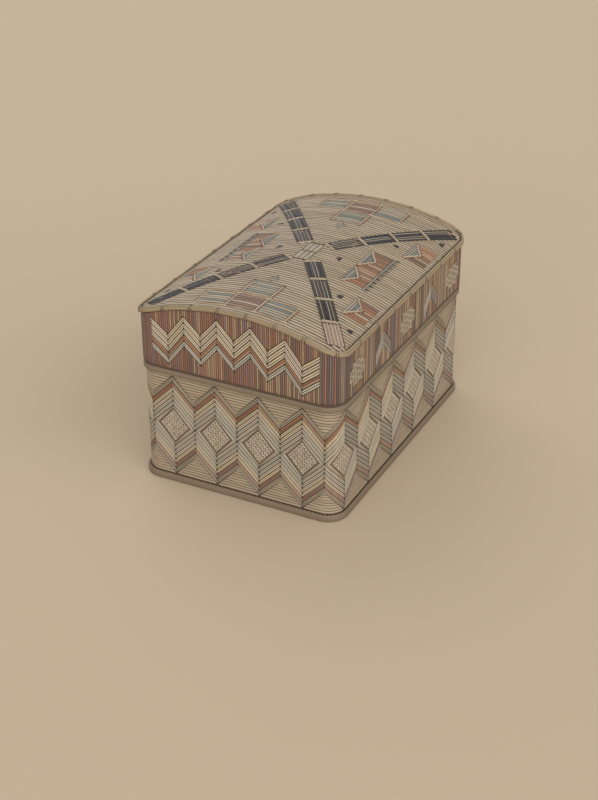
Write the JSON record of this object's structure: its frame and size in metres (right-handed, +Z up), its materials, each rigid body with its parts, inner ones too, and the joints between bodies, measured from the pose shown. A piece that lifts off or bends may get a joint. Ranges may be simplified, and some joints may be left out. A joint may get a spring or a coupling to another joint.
{
  "type": "lidded box",
  "caption": "Rectangular bark box with rounded corners, covered with dyed quillwork, and a barrel-vaulted lid that lifts off its upstanding liner.",
  "frame": {"origin": "middle of the footprint, on the surface that the box stands on", "axes": "+X along the box's length and the vault's axis, +Y towards the back long side, +Z up"},
  "size_m": [0.2232, 0.1572, 0.1424],
  "materials": {
    "birch_bark": "peeled birch bark, satin",
    "birch_bark_lining": "inner face of birch bark, matt, with lenticels",
    "pine_board": "planed softwood, bare",
    "split_root": "split and scraped root, dull",
    "ivory_quill": "natural flattened quill, satin",
    "checked_quill": "natural quill in a basket check, satin",
    "grey_quill": "grey-brown dyed quill, satin",
    "rust_quill": "rust dyed quill, satin",
    "teal_quill": "blue-grey dyed quill, satin",
    "navy_quill": "blue-black dyed quill, satin"
  },
  "bodies": {
    "box": {"base_board": "pine_board", "base_pegs": "pine_board", "inner_liner": "birch_bark_lining", "liner_stitches": "split_root", "outer_wall": "birch_bark", "base_rim": "split_root", "upper_rim": "split_root", "wall_edge_quills": "ivory_quill", "wall_grey_quills": "grey_quill", "wall_rust_quills": "rust_quill", "wall_ivory_quills": "ivory_quill", "diamond_frame_quills": "grey_quill", "diamond_check_quills": "checked_quill"},
    "lid": {"lid_band": "birch_bark", "lid_band_lining": "birch_bark_lining", "lid_top": "birch_bark", "lid_top_lining": "birch_bark_lining", "lid_edge_binding": "split_root", "lid_edge_stitches": "split_root", "end_ivory_zigzag_quills": "ivory_quill", "end_rust_zigzag_quills": "rust_quill", "end_fill_quills": "rust_quill", "lid_corner_quills": "rust_quill", "side_cross_quills": "checked_quill", "side_arrow_quills": "grey_quill", "side_fill_quills": "rust_quill", "top_field_quills": "ivory_quill", "cross_bar_quills": "navy_quill", "cross_tie_quills": "ivory_quill", "cross_centre_quills": "checked_quill", "top_rust_quills": "rust_quill", "top_teal_quills": "teal_quill", "top_tuft_quills": "navy_quill"}
  },
  "joints": [
    {"name": "lid_lift", "type": "slide", "parent": "box", "child": "lid", "axis": [0, 0, 1], "range_m": [0, 0.08]}
  ]
}
